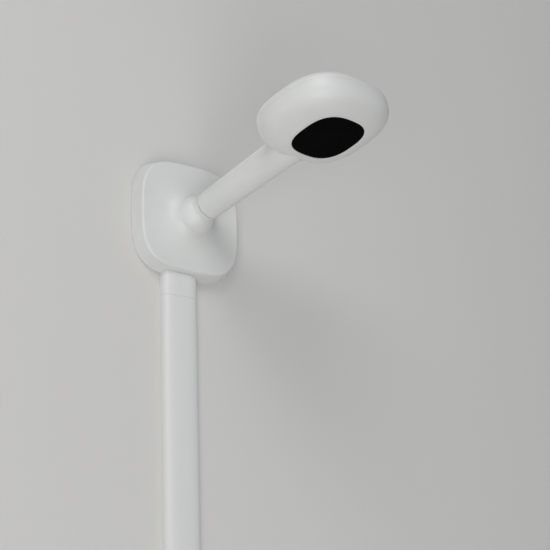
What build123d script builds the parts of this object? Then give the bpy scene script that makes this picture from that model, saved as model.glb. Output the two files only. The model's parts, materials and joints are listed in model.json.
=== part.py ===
from build123d import *
from math import cos, pi, radians, sin
import os

# Wall-mounted overhead baby monitor camera, in millimetres.
# The wall is the plane Y = 0, the room is towards -Y, +Z is up, and the origin is the centre of the
# bracket's back face. The camera (ball, arm and head) is straight when it is centred; at rest it is
# turned REST_PAN to the right and raised by REST_TILT about the ball's centre.

# ---------------------------------------------------------------- driving dimensions
PLATE_HALF = 52.0        # half the width and height of the wall cover
PLATE_POWER = 3.36       # superellipse power of its outline
PLATE_GAP = 0.8          # shadow gap between the cover and the wall
PLATE_DRAFT = 2.6        # how far the side wall leans in
EDGE_START = 11.9        # depth where the side wall starts to round over
EDGE_DEPTH = 14.2        # depth where the rounded edge meets the front
EDGE_INSET = 2.3         # how far the rounded edge comes in
COLLAR_SHARE = 0.4       # part of the dome's rise that is a steep collar round the ball
DOME_POWER = 2.2         # how hollow the dome's flank is
COLLAR_POWER = 9.0
WALL = 2.2               # cover thickness

BALL_DEPTH = 17.0        # distance of the ball's centre from the wall
BALL_RADIUS = 18.5
BALL_WALL = 2.0
BALL_REAR = 2.2          # the ball is cut off this far behind its centre
MOUTH_ANGLE = 68.5       # half angle of the cover's mouth round the ball, in degrees
NECK_RADIUS = 12.0
REST_PAN = 9.3           # degrees to the right
REST_TILT = 12.7         # degrees up

SEAM = 19.5              # distance from the ball's centre to the seam of neck and arm
ARM_NEAR = 12.3          # arm radius at the seam
ARM_FAR = 14.4           # arm radius at the head
ARM_END = 129.0          # where the arm tube ends, inside the head
ARM_WALL = 1.8

HEAD_REACH = 161.7       # ball centre to head centre, along the arm
HEAD_RISE = 6.9          # the head's widest plane stands this far above the arm's axis
HEAD_X = 51.1            # half width of the head
HEAD_Y = 48.2            # half length of the head, along the arm
HEAD_POWER = 2.75
HEAD_TOP = 13.2          # height of the upper half
HEAD_TOP_POWER = 3.0
HEAD_LOW = 25.7          # height that the lower half would have if it weren't cut by the window
HEAD_LOW_POWER = 2.6
HEAD_FLAT = 23.1         # depth of the flat face round the window
HEAD_WALL = 1.8
PARTING = 0.1            # gap of the parting line

WINDOW_HALF = 27.8
WINDOW_POWER = 2.66
SCREW_GRID = 37.6        # spacing of the head's four shell screws

COVER_X = -6.2           # the cable cover stands this far to the left of the plate's centre line
COVER_WIDTH = 34.6
COVER_DEPTH = 9.4
COVER_POWER = 3.4
COVER_WALL = 1.6
STUB_END = -71.0         # height of the joint between the stub and the long cover
COVER_BACK = 0.4         # gap between the cover's edges and the wall
COVER_JOINT = 0.4        # gap between the stub and the long cover
COVER_LENGTH = 262.0
COVER_END = STUB_END - COVER_JOINT - COVER_LENGTH

PIN = 1.4                # pivot pin radius
PIN_RUN = 1.45           # running bore round a pivot pin
SLIP = 0.3               # clearance between curved faces of different bodies

os.makedirs("parts", exist_ok=True)

# ---------------------------------------------------------------- frames
pan = radians(REST_PAN)
tilt = radians(REST_TILT)
side_dir = Vector(cos(pan), sin(pan), 0)
up_dir = Vector(-sin(tilt) * sin(pan), sin(tilt) * cos(pan), cos(tilt))
arm_dir = Vector(cos(tilt) * sin(pan), -cos(tilt) * cos(pan), sin(tilt))

wall = Plane(origin=(0, 0, 0), x_dir=(1, 0, 0), z_dir=(0, -1, 0))
ball = Plane(origin=(0, -BALL_DEPTH, 0), x_dir=(1, 0, 0), z_dir=(0, 0, 1))
arm = Plane(origin=ball.origin, x_dir=side_dir, z_dir=up_dir)
along = Plane(origin=ball.origin, x_dir=side_dir, z_dir=arm_dir)
yoke = Plane(origin=ball.origin, x_dir=side_dir, z_dir=(sin(pan), -cos(pan), 0))
head = Plane(origin=arm.from_local_coords((0, -HEAD_REACH, HEAD_RISE)), x_dir=side_dir, z_dir=up_dir)


def superellipse(half_x, half_y, power, start=0.0, turn=2 * pi, count=24):
    """Points of a superellipse, from the start angle through the given turn."""
    points = []
    for step in range(count):
        angle = start + turn * step / count
        across, upward = cos(angle), sin(angle)
        reach = (abs(across) ** power + abs(upward) ** power) ** (-1 / power)
        points.append((half_x * reach * across, half_y * reach * upward))
    return points


def squircle(plane, half_x, half_y, power):
    """A superellipse face on a plane."""
    with BuildSketch(plane) as face:
        with BuildLine():
            Spline(superellipse(half_x, half_y, power), periodic=True)
        make_face()
    return face.sketch


def plate_body(inset, first, mouth_depth, mouth_radius, mode=Mode.ADD):
    """The wall cover's outer shape, drawn in by an inset: side wall, rounded edge and dome."""
    foot_half = PLATE_HALF - inset
    side_half = foot_half - PLATE_DRAFT
    front_half = side_half - EDGE_INSET
    start_depth = EDGE_START - inset
    front_depth = EDGE_DEPTH - inset
    side_wall = [
        squircle(wall.offset(first), foot_half, foot_half, PLATE_POWER),
        squircle(wall.offset(start_depth), side_half, side_half, PLATE_POWER),
    ]
    loft(sections=side_wall, mode=mode)
    edge = []
    for degrees in (0, 22.5, 45, 67.5, 90):
        angle = radians(degrees)
        depth = start_depth + (front_depth - start_depth) * sin(angle)
        half = side_half - EDGE_INSET * (1 - cos(angle))
        edge.append(squircle(wall.offset(depth), half, half, PLATE_POWER))
    loft(sections=edge, mode=mode)
    dome = []
    for share in (0, 0.25, 0.5, 0.7, 0.84, 0.93, 1.0):
        half = front_half + (mouth_radius - front_half) * share
        rise = (1 - COLLAR_SHARE) * share ** DOME_POWER + COLLAR_SHARE * share ** COLLAR_POWER
        depth = front_depth + (mouth_depth - front_depth) * rise
        power = PLATE_POWER + (2 - PLATE_POWER) * share ** 1.5
        dome.append(squircle(wall.offset(depth), half, half, power))
    loft(sections=dome, mode=mode)


def pillow_sections(height, power, half_x, half_y, angles):
    """Sections of one half of the head, from its widest plane towards its pole."""
    sections = []
    for degrees in angles:
        angle = radians(degrees)
        shrink = cos(angle) ** (2 / power)
        level = height * sin(angle) ** (2 / power)
        sections.append(squircle(head.offset(level), half_x * shrink, half_y * shrink, HEAD_POWER))
    return sections


def low_sections(inset, flat):
    """Sections of the lower half of the head down to its flat face, drawn in by an inset."""
    sections = []
    for share in (0, 0.2, 0.4, 0.58, 0.74, 0.87, 1.0):
        depth = flat * share
        shrink = (1 - (depth / (HEAD_LOW - inset * 0.4)) ** HEAD_LOW_POWER) ** (1 / HEAD_LOW_POWER)
        half_x = (HEAD_X - inset) * shrink
        half_y = half_x * (HEAD_Y / HEAD_X + (1 - HEAD_Y / HEAD_X) * share ** 2 * 0.6)
        sections.append(squircle(head.offset(-PARTING - depth), half_x, half_y, HEAD_POWER))
    return sections


def cover_face(plane, width, depth, back):
    """The D-shaped section of the cable cover: flat towards the wall, rounded towards the room."""
    arc = superellipse(width / 2, depth - back, COVER_POWER, start=0.0, turn=pi, count=12)
    arc.append((-width / 2, 0))
    with BuildSketch(plane) as face:
        with BuildLine():
            Spline([(COVER_X + x, y + back) for x, y in arc])
            Line((COVER_X - width / 2, back), (COVER_X + width / 2, back))
        make_face()
    return face.sketch


def level(height):
    """A level plane whose second direction points from the wall into the room."""
    return Plane(origin=(0, 0, height), x_dir=(1, 0, 0), z_dir=(0, 0, -1))


def finish(part, name):
    """Labels a piece and writes its STEP file."""
    part.label = name
    export_step(part, f"parts/{name}.step")


mouth_depth = BALL_DEPTH + BALL_RADIUS * cos(radians(MOUTH_ANGLE))
mouth_radius = (BALL_RADIUS + SLIP) * sin(radians(MOUTH_ANGLE))

# ================================================================ wall mount
# wall bracket: flat plate with countersunk wall screw holes, two hooks and a window for the latch
BRACKET_HALF = 47.0
BRACKET_THICK = 2.6
BOLT_SPACING = 56.0
BOLT_RADIUS = 2.25
HOOK_X = 26.0
HOOK_LOW = -25.0
LIP_LOW = 46.2           # lower edge of the lip that the latch catches on
LIP_BACK = 1.3
LATCH_SLOT_LOW = 41.5    # lower edge of the latch's window
LATCH_SLOT_WIDTH = 12.0
HOOK_WIDTH = 6.0
HOOK_REACH = 4.8         # how far the hooks stand out of the bracket
HOOK_TIP = 5.9           # middle of the upturned tip, from the wall
with BuildPart() as wall_bracket:
    extrude(squircle(wall, BRACKET_HALF, BRACKET_HALF, PLATE_POWER), amount=BRACKET_THICK)
    with BuildSketch(wall):
        with Locations((0, (LATCH_SLOT_LOW + LIP_LOW) / 2)):
            Rectangle(LATCH_SLOT_WIDTH, LIP_LOW - LATCH_SLOT_LOW)
        with Locations((COVER_X, -BRACKET_HALF)):
            Rectangle(20, 16)
    extrude(amount=BRACKET_THICK, mode=Mode.SUBTRACT)
    with BuildSketch(wall):
        with Locations((0, 46)):
            Rectangle(LATCH_SLOT_WIDTH, 9)
    extrude(amount=LIP_BACK, mode=Mode.SUBTRACT)
    with Locations(wall.offset(BRACKET_THICK)):
        with GridLocations(BOLT_SPACING, BOLT_SPACING, 2, 2):
            CounterSinkHole(BOLT_RADIUS, 4.3, counter_sink_angle=90)
    with Locations((-HOOK_X, -BRACKET_THICK, HOOK_LOW), (HOOK_X, -BRACKET_THICK, HOOK_LOW)):
        Box(HOOK_WIDTH, HOOK_REACH, 3, align=(Align.CENTER, Align.MAX, Align.MIN))
    with Locations((-HOOK_X, -HOOK_TIP, HOOK_LOW), (HOOK_X, -HOOK_TIP, HOOK_LOW)):
        Box(HOOK_WIDTH, 1.5, 6, align=(Align.CENTER, Align.MAX, Align.MIN))
finish(wall_bracket.part, "wall_bracket")

# base frame: back plate, ball housing, pan fork and board posts
FRAME_BACK = 3.0
FRAME_FRONT = 5.4
FRAME_MIDDLE = (FRAME_BACK + FRAME_FRONT) / 2
FRAME_HALF = 41.0
HOUSING = 20.6           # inner radius of the ball's housing
HOUSING_WALL = 1.8
HOUSING_HEIGHT = 10.6
SEAT_LEDGE = 19.0        # inner radius of the ledge that carries the seat ring
SEAT_LEDGE_DEPTH = 13.6
SEAT_DEPTH = 15.4        # back of the seat ring, on the ledge
SEAT_INNER = 16.0
LEAD_X = 5.5
LEAD_DEPTH = 6.8
FORK_INNER = 7.0
FORK_OUTER = 8.8
SCREW_AT = (33.0, 22.0)
BOARD_POSTS = ((-21.0, -29.5), (11.0, -29.5))
BOARD_BACK = 6.7
CORD_WAY = 18.0          # width of the way that the cord takes out of the base
with BuildPart() as base_frame:
    back_plate = squircle(wall.offset(FRAME_BACK), FRAME_HALF, FRAME_HALF, PLATE_POWER)
    extrude(back_plate, amount=FRAME_FRONT - FRAME_BACK)
    with BuildSketch(wall.offset(FRAME_FRONT)):
        Circle(HOUSING + HOUSING_WALL)
        Circle(HOUSING, mode=Mode.SUBTRACT)
    extrude(amount=HOUSING_HEIGHT)
    with BuildSketch(wall.offset(SEAT_LEDGE_DEPTH)):
        Circle(HOUSING)
        Circle(SEAT_LEDGE, mode=Mode.SUBTRACT)
    extrude(amount=SEAT_DEPTH - SEAT_LEDGE_DEPTH)
    with BuildSketch(wall.offset(FRAME_FRONT)):
        with GridLocations(0, FORK_INNER + FORK_OUTER, 1, 2):
            Rectangle(5.0, FORK_OUTER - FORK_INNER)
    extrude(amount=BALL_DEPTH + 2.6 - FRAME_FRONT)
    with BuildSketch(wall.offset(FRAME_FRONT)):
        with Locations(*BOARD_POSTS):
            Circle(1.6)
    extrude(amount=BOARD_BACK - FRAME_FRONT)
    # latch spring seat
    with BuildSketch(wall.offset(FRAME_FRONT)):
        with Locations((0, 33.0)):
            Rectangle(8, 3)
    extrude(amount=3.4)
    # bores for the pan pins, the way of the lead and the counterbored screw holes
    with Locations(ball):
        Cylinder(PIN, 2 * FORK_OUTER + 2, mode=Mode.SUBTRACT)
    with Locations((LEAD_X, -LEAD_DEPTH, -HOUSING)):
        Cylinder(2.0, 6, mode=Mode.SUBTRACT)
    with Locations((COVER_X, -FRAME_MIDDLE, -38.0)):
        Box(CORD_WAY, 4, 8, mode=Mode.SUBTRACT)
    # recess round the latch spring, and the slots of the bracket's hooks
    with Locations((0, -FRAME_MIDDLE, 39.6)):
        Box(5.0, 4, 10, mode=Mode.SUBTRACT)
    with Locations((-HOOK_X, -FRAME_MIDDLE, HOOK_LOW + 3.3), (HOOK_X, -FRAME_MIDDLE, HOOK_LOW + 3.3)):
        Box(HOOK_WIDTH + 1, 4, 7.3, align=(Align.CENTER, Align.CENTER, Align.MAX), mode=Mode.SUBTRACT)
    with Locations(Plane(origin=(0, -FRAME_BACK, 0), x_dir=(-1, 0, 0), z_dir=(0, 1, 0))):
        with GridLocations(2 * SCREW_AT[0], 2 * SCREW_AT[1], 2, 2):
            CounterBoreHole(1.25, 2.4, 1.2)
finish(base_frame.part, "base_frame")

# wall cover: rounded squircle dome that rises to a round mouth which holds the ball
with BuildPart() as base_cover:
    plate_body(0, PLATE_GAP, mouth_depth, mouth_radius + 0.4)
    plate_body(WALL, PLATE_GAP, mouth_depth - WALL, mouth_radius + 1.6, mode=Mode.SUBTRACT)
    with Locations(ball):
        Sphere(BALL_RADIUS + SLIP, mode=Mode.SUBTRACT)
    # screw bosses
    with BuildSketch(wall.offset(FRAME_FRONT)):
        with GridLocations(2 * SCREW_AT[0], 2 * SCREW_AT[1], 2, 2):
            Circle(3.0)
            Circle(0.9, mode=Mode.SUBTRACT)
    extrude(amount=8.6)
    # openings for the latch and for the cord
    with Locations((0, -6.0, PLATE_HALF)):
        Box(14.8, 4.8, 12, mode=Mode.SUBTRACT)
    with Locations((COVER_X, -5.2, -PLATE_HALF)):
        Box(CORD_WAY, 6.4, 10, mode=Mode.SUBTRACT)
finish(base_cover.part, "base_cover")

# low-friction seat ring that bears on the ball
with BuildPart() as ball_seat:
    with BuildSketch(wall.offset(SEAT_DEPTH)):
        Circle(HOUSING - 0.05)
        Circle(SEAT_INNER, mode=Mode.SUBTRACT)
    extrude(amount=2.0)
    with Locations(ball):
        Sphere(BALL_RADIUS + SLIP / 2, mode=Mode.SUBTRACT)
finish(ball_seat.part, "ball_seat")

# pan pins, fixed in the fork
PIN_INNER = 4.3          # the pins stop this far from the ball's centre
with BuildPart(ball) as pan_pins:
    for direction in (1, -1):
        with Locations((0, 0, direction * (PIN_INNER + FORK_OUTER) / 2)):
            Cylinder(PIN, FORK_OUTER - PIN_INNER)
finish(pan_pins.part, "pan_pins")

# pivot ring between the pan pins and the tilt pins
RING_OUTER = 6.7
RING_INNER = 3.6
RING_WIDTH = 5.0
with BuildPart() as pivot_ring:
    with BuildSketch(yoke.offset(-RING_WIDTH / 2)):
        Circle(RING_OUTER)
        Circle(RING_INNER, mode=Mode.SUBTRACT)
    extrude(amount=RING_WIDTH)
    with BuildSketch(Plane(origin=ball.origin, x_dir=arm_dir, z_dir=side_dir)):
        Circle(PIN_RUN)
    extrude(amount=RING_OUTER, both=True, mode=Mode.SUBTRACT)
    with BuildSketch(ball):
        Circle(PIN_RUN)
    extrude(amount=RING_OUTER, both=True, mode=Mode.SUBTRACT)
finish(pivot_ring.part, "pivot_ring")

# release latch in the top of the cover, and its spring
LATCH_DEPTH = 5.85       # middle of the latch and of its spring, from the wall
LATCH_LOW = 44.0
LATCH_TOP = 51.4
TONGUE_LOW = 44.3
with BuildPart() as release_latch:
    with Locations((0, -LATCH_DEPTH, (LATCH_LOW + LATCH_TOP) / 2)):
        Box(14, 4.1, LATCH_TOP - LATCH_LOW)
    fillet(release_latch.edges().filter_by(Axis.Y).group_by(Axis.Z)[-1], 1.2)
    # tongue through the bracket's window, with a hook behind the lip
    with Locations((0, -0.25, TONGUE_LOW)):
        Box(9, 3.9, 1.7, align=(Align.CENTER, Align.MAX, Align.MIN))
        Box(9, 0.8, 2.7, align=(Align.CENTER, Align.MAX, Align.MIN))
    # peg inside the spring
    with Locations((0, -LATCH_DEPTH, LATCH_LOW - 1.1)):
        Cylinder(1.0, 2.4)
finish(release_latch.part, "release_latch")

SPRING_LOW = 35.05
SPRING_HEIGHT = 8.4
SPRING_WIRE = 0.28
SPRING_RADIUS = 1.65
SPRING_PITCH = 1.75
with BuildPart() as latch_spring:
    with BuildLine() as coil:
        Helix(SPRING_PITCH, SPRING_HEIGHT, SPRING_RADIUS, center=(0, -LATCH_DEPTH, SPRING_LOW))
    with BuildSketch(Plane(origin=coil.line @ 0, z_dir=coil.line % 0)):
        Circle(SPRING_WIRE)
    sweep(path=coil.line, is_frenet=True)
finish(latch_spring.part, "latch_spring")

# supply board with its inlet socket, which faces down into the cable cover
with BuildPart() as base_board:
    with BuildSketch(wall.offset(BOARD_BACK)):
        with Locations((-5, -34)):
            RectangleRounded(40, 15, 2)
        with Locations(*BOARD_POSTS):
            Circle(0.9, mode=Mode.SUBTRACT)
    extrude(amount=1.2)
finish(base_board.part, "base_board")

INLET_WIDTH = 8.9
INLET_DEPTH = BOARD_BACK - 1.6
with BuildPart() as power_inlet:
    with BuildSketch(level(-36.5)):
        with Locations((COVER_X, INLET_DEPTH)):
            SlotOverall(INLET_WIDTH, 3.2)
    extrude(amount=7.4)
    with BuildSketch(level(-38.0)):
        with Locations((COVER_X, INLET_DEPTH)):
            SlotOverall(INLET_WIDTH - 0.6, 2.6)
            SlotOverall(6.6, 0.7, mode=Mode.SUBTRACT)
    extrude(amount=5.9, mode=Mode.SUBTRACT)
finish(power_inlet.part, "power_inlet")

# lead from the supply board to the middle of the ball
LEAD = 1.2
LEAD_LOW = -31.0
LEAD_ON_BOARD = 9.2      # the lead starts on the front of the supply board
with BuildPart() as base_lead:
    with BuildLine() as route:
        FilletPolyline(
            (LEAD_X, -LEAD_ON_BOARD, LEAD_LOW),
            (LEAD_X, -LEAD_ON_BOARD, LEAD_LOW + 5.5),
            (LEAD_X, -LEAD_DEPTH, LEAD_LOW + 8.5),
            (LEAD_X, -LEAD_DEPTH, 0),
            (0, -LEAD_DEPTH, 0),
            (0, 0.8 - BALL_DEPTH, 0),
            radius=2.6,
        )
    with BuildSketch(Plane(origin=(LEAD_X, -LEAD_ON_BOARD, LEAD_LOW), z_dir=(0, 0, 1))):
        Circle(LEAD)
    sweep(path=route.line)
finish(base_lead.part, "base_lead")

with BuildPart(Plane(origin=(0, -FRAME_BACK, 0), x_dir=(-1, 0, 0), z_dir=(0, 1, 0))) as base_screws:
    with GridLocations(2 * SCREW_AT[0], 2 * SCREW_AT[1], 2, 2):
        with Locations((0, 0, -0.6)):
            Cylinder(2.2, 1.2)
        with Locations((0, 0, -4.6)):
            Cylinder(0.9, 6.8)
        with Locations((0, 0, -0.2)):
            Box(3.2, 0.5, 0.4, mode=Mode.SUBTRACT)
            Box(0.5, 3.2, 0.4, mode=Mode.SUBTRACT)
finish(base_screws.part, "base_screws")

# ================================================================ ball and arm
# ball with its neck and the spigot that the arm tube is pushed on to
SPIGOT = ARM_NEAR - ARM_WALL - 0.1
PIN_OUTER = 16.9
BOSS_INNER = 7.1
with BuildPart(arm) as arm_ball:
    Sphere(BALL_RADIUS)
    with BuildSketch(along):
        Circle(NECK_RADIUS)
    extrude(amount=SEAM - 0.5)
    with BuildSketch(along.offset(SEAM - 0.5)):
        Circle(SPIGOT)
    extrude(amount=12)
    split(bisect_by=along.offset(-BALL_REAR), keep=Keep.TOP)
    Sphere(BALL_RADIUS - BALL_WALL, mode=Mode.SUBTRACT)
    with BuildSketch(along):
        Circle(SPIGOT - 2.2)
    extrude(amount=SEAM + 12, mode=Mode.SUBTRACT)
    for direction in (1, -1):
        with Locations((direction * (BOSS_INNER + PIN_OUTER) / 2, 0, 0)):
            Cylinder(2.7, PIN_OUTER - BOSS_INNER, rotation=(0, 90, 0))
    Cylinder(PIN, 2 * PIN_OUTER + 0.1, rotation=(0, 90, 0), mode=Mode.SUBTRACT)
    fillet(arm_ball.edges().filter_by(GeomType.CIRCLE).group_by(Axis((0, 0, 0), arm_dir))[-1], 0.3)
finish(arm_ball.part, "arm_ball")

with BuildPart(arm) as tilt_pins:
    for direction in (1, -1):
        with Locations((direction * (PIN_INNER + PIN_OUTER) / 2, 0, 0)):
            Cylinder(PIN, PIN_OUTER - PIN_INNER, rotation=(0, 90, 0))
finish(tilt_pins.part, "tilt_pins")

# recessed ring that shows as the seam between neck and arm
with BuildPart() as arm_collar:
    with BuildSketch(along.offset(SEAM - 0.5)):
        Circle(ARM_NEAR - 0.7)
        Circle(SPIGOT, mode=Mode.SUBTRACT)
    extrude(amount=0.5)
finish(arm_collar.part, "arm_collar")

SOCKET = 12.5            # length of the bore that takes the spigot
with BuildPart() as arm_tube:
    with BuildSketch(along.offset(SEAM)):
        Circle(ARM_NEAR)
    with BuildSketch(along.offset(ARM_END)):
        Circle(ARM_FAR)
    loft()
    with BuildSketch(along.offset(SEAM)):
        Circle(SPIGOT + 0.1)
    extrude(amount=SOCKET, mode=Mode.SUBTRACT)
    with BuildSketch(along.offset(SEAM + SOCKET)):
        Circle(SPIGOT + 0.1)
    with BuildSketch(along.offset(ARM_END)):
        Circle(ARM_FAR - ARM_WALL)
    loft(mode=Mode.SUBTRACT)
    near_rims = arm_tube.edges().filter_by(GeomType.CIRCLE).group_by(Axis((0, 0, 0), arm_dir))[0]
    fillet(near_rims.sort_by(SortBy.RADIUS)[-1], 0.35)
finish(arm_tube.part, "arm_tube")

# harness from the middle of the ball to the plug on the main board
PLUG_Y = 26.0
with BuildPart() as arm_harness:
    with BuildSketch(along.offset(0.8)):
        Circle(LEAD)
    extrude(amount=HEAD_REACH - PLUG_Y - 0.8)
finish(arm_harness.part, "arm_harness")

# anchor that fastens the arm tube to the head's lower shell
FLANGE_Y = 29.0
ANCHOR_GRID = 36.4       # spacing of the anchor's two screws
with BuildPart(head) as arm_anchor:
    with BuildSketch(along.offset(ARM_END - 8)):
        Circle(ARM_FAR - ARM_WALL - 0.3)
    extrude(amount=8)
    with BuildSketch(along.offset(ARM_END)):
        RectangleRounded(ANCHOR_GRID + 7, 18, 3)
    extrude(amount=HEAD_REACH - ARM_END - FLANGE_Y)
    with BuildSketch(along.offset(ARM_END - 8)):
        Circle(2.2)
        with GridLocations(ANCHOR_GRID, 0, 2, 1):
            Circle(1.3)
    extrude(amount=14, mode=Mode.SUBTRACT)
finish(arm_anchor.part, "arm_anchor")

with BuildPart() as anchor_screws:
    with BuildSketch(along.offset(HEAD_REACH - FLANGE_Y)):
        with GridLocations(ANCHOR_GRID, 0, 2, 1):
            Circle(2.2)
    extrude(amount=1.2)
    with BuildSketch(along.offset(ARM_END - 4.5)):
        with GridLocations(ANCHOR_GRID, 0, 2, 1):
            Circle(1.0)
    extrude(amount=HEAD_REACH - FLANGE_Y - ARM_END + 4.5)
finish(anchor_screws.part, "anchor_screws")

# ================================================================ head
BUTTON_RADIUS = 9.1
GUIDE_INNER = 9.4
GUIDE_OUTER = 11.4
RESET_AT = (12.8, 9.2)
MIC_AT = (-12.8, -9.2)
SPEAKER_AT = (-32.0, 6.0)
TOP_ANGLES = (0, 12, 25, 38, 50, 61, 71, 80)
ARM_WAY = ARM_FAR + 0.15 # radius of the arm's way into the head
WAY_START = 100.0        # the way starts outside the head
WAY_LENGTH = 30.0
BOSS = 2.8               # radius of the bosses of the shell screws
PILOT = 0.9
MIC_HOLE = 0.6
SPEAKER_HOLE = 0.8
RESET_HOLE = 1.6

with BuildPart() as head_top_shell:
    loft(sections=pillow_sections(HEAD_TOP, HEAD_TOP_POWER, HEAD_X, HEAD_Y, TOP_ANGLES))
    loft(
        sections=pillow_sections(
            HEAD_TOP - HEAD_WALL, HEAD_TOP_POWER, HEAD_X - HEAD_WALL, HEAD_Y - HEAD_WALL, TOP_ANGLES
        ),
        mode=Mode.SUBTRACT,
    )
    # way in for the arm
    with BuildSketch(along.offset(WAY_START)):
        Circle(ARM_WAY)
    extrude(amount=WAY_LENGTH, mode=Mode.SUBTRACT)
    with BuildSketch(head):
        with GridLocations(SCREW_GRID, SCREW_GRID, 2, 2):
            Circle(BOSS)
            Circle(PILOT, mode=Mode.SUBTRACT)
    extrude(amount=11.2)
    with BuildSketch(head.offset(4)):
        Circle(GUIDE_OUTER + 0.05)
        with Locations(RESET_AT):
            Circle(RESET_HOLE)
        with Locations(MIC_AT):
            Circle(MIC_HOLE)
        with Locations(SPEAKER_AT):
            Circle(SPEAKER_HOLE)
            for ring_radius, holes in ((3.6, 6), (6.6, 12)):
                with PolarLocations(ring_radius, holes):
                    Circle(SPEAKER_HOLE)
    extrude(amount=12, mode=Mode.SUBTRACT)
finish(head_top_shell.part, "head_top_shell")

FLOOR = 19.2             # inside of the face behind the window
LIP = 21.0               # front of that face, which carries the window
LIP_OPENING = 20.8       # half width of its opening for the lens and the lamps
with BuildPart() as head_bottom_shell:
    loft(sections=low_sections(0, HEAD_FLAT - PARTING))
    loft(sections=low_sections(HEAD_WALL, FLOOR - PARTING), mode=Mode.SUBTRACT)
    extrude(squircle(head.offset(-HEAD_FLAT - 1), WINDOW_HALF, WINDOW_HALF, WINDOW_POWER),
            amount=HEAD_FLAT + 1 - LIP, mode=Mode.SUBTRACT)
    opening = squircle(head.offset(-LIP - 0.5), LIP_OPENING, LIP_OPENING, WINDOW_POWER)
    extrude(opening, amount=3, mode=Mode.SUBTRACT)
    with BuildSketch(along.offset(WAY_START)):
        Circle(ARM_WAY)
    extrude(amount=WAY_LENGTH, mode=Mode.SUBTRACT)
    with BuildSketch(head.offset(-FLOOR - 0.4)):
        with GridLocations(SCREW_GRID, SCREW_GRID, 2, 2):
            Circle(BOSS)
    extrude(amount=FLOOR + 0.4 - PARTING)
    # bosses that take the anchor's screws
    with BuildSketch(along.offset(ARM_END - 5)):
        with GridLocations(ANCHOR_GRID, 0, 2, 1):
            Rectangle(6, 6)
            Circle(1.0, mode=Mode.SUBTRACT)
    extrude(amount=5)
    with BuildSketch(along.offset(ARM_END - 5)):
        with Locations((-ANCHOR_GRID / 2, -7.0), (ANCHOR_GRID / 2, -7.0)):
            Rectangle(2, 9)
    extrude(amount=5)
    with BuildSketch(head.offset(-LIP - 0.1)):
        with GridLocations(SCREW_GRID, SCREW_GRID, 2, 2):
            Circle(2.1)
    extrude(amount=1.1, mode=Mode.SUBTRACT)
    with BuildSketch(head.offset(-LIP)):
        with GridLocations(SCREW_GRID, SCREW_GRID, 2, 2):
            Circle(1.05)
    extrude(amount=LIP, mode=Mode.SUBTRACT)
finish(head_bottom_shell.part, "head_bottom_shell")

with BuildPart(head) as shell_screws:
    with GridLocations(SCREW_GRID, SCREW_GRID, 2, 2):
        with Locations((0, 0, -LIP + 0.5)):
            Cylinder(2.0, 1.0)
        with Locations((0, 0, -LIP + 1.0 + 12.0)):
            Cylinder(0.9, 24.0)
finish(shell_screws.part, "shell_screws")

# black window and its gasket
GASKET_LOW = 21.3
GASKET_OPENING = 21.0
with BuildPart() as window:
    extrude(squircle(head.offset(-HEAD_FLAT + 0.2), WINDOW_HALF - 0.2, WINDOW_HALF - 0.2, WINDOW_POWER),
            amount=HEAD_FLAT - 0.2 - GASKET_LOW)
finish(window.part, "window")

with BuildPart() as window_gasket:
    gasket_plane = head.offset(-GASKET_LOW)
    gasket_half = WINDOW_HALF - 0.6
    extrude(squircle(gasket_plane, gasket_half, gasket_half, WINDOW_POWER), amount=0.3)
    opening = squircle(gasket_plane, GASKET_OPENING, GASKET_OPENING, WINDOW_POWER)
    extrude(opening, amount=0.3, mode=Mode.SUBTRACT)
finish(window_gasket.part, "window_gasket")

# lens: barrel, front and rear glass, and the mount with the slot of the infrared filter
BARREL = 8.0
BARREL_FRONT = 20.6
MOUNT_LOW = 17.2
MOUNT_TOP = 7.6
SLOT_LOW = 9.95
SLOT_TOP = 8.85
with BuildPart() as lens_barrel:
    with BuildSketch(head.offset(-BARREL_FRONT)):
        Circle(BARREL)
    extrude(amount=10.5)
    with BuildSketch(head.offset(-BARREL_FRONT)):
        Circle(7.0)
    extrude(amount=3.6, mode=Mode.SUBTRACT, taper=8)
    with BuildSketch(head.offset(-17.4)):
        Circle(4.6)
    extrude(amount=7.4, mode=Mode.SUBTRACT)
finish(lens_barrel.part, "lens_barrel")

with BuildPart(head) as lens_glass:
    with Locations((0, 0, -17.0 + 7.5)):
        Sphere(9.6)
    with Locations((0, 0, -17.0 + 10.0)):
        Box(20, 20, 20, mode=Mode.SUBTRACT)
    with Locations((0, 0, -11.6)):
        Cylinder(4.5, 1.8)
finish(lens_glass.part, "lens_glass")

with BuildPart(head) as lens_mount:
    with Locations((0, 0, -(MOUNT_LOW + MOUNT_TOP) / 2)):
        Box(26, 22, MOUNT_LOW - MOUNT_TOP)
    fillet(lens_mount.edges().filter_by(Axis((0, 0, 0), up_dir)), 1.5)
    with Locations((0, 0, -(MOUNT_LOW + SLOT_LOW) / 2)):
        Cylinder(BARREL + 0.05, MOUNT_LOW - SLOT_LOW, mode=Mode.SUBTRACT)
    with Locations((0.25, 0, -(SLOT_LOW + SLOT_TOP) / 2)):
        Box(21.5, 9.8, SLOT_LOW - SLOT_TOP, mode=Mode.SUBTRACT)
    with Locations((0, 0, -(SLOT_TOP + MOUNT_TOP) / 2)):
        Box(10, 9, SLOT_TOP - MOUNT_TOP, mode=Mode.SUBTRACT)
finish(lens_mount.part, "lens_mount")

# infrared filter blade, with one clear and one filtering pane
BLADE_Z = -9.4
FILTER_TRAVEL = 5.5
PANE_WIDTH = 4.4
PANE_HEIGHT = 6.6
with BuildPart(head) as filter_blade:
    with Locations((-2.5, 0, BLADE_Z)):
        Box(14.6, 9.2, 0.7)
    with Locations((0, 0, BLADE_Z), (-FILTER_TRAVEL, 0, BLADE_Z)):
        Box(PANE_WIDTH, PANE_HEIGHT, 0.7, mode=Mode.SUBTRACT)
finish(filter_blade.part, "filter_blade")

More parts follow.
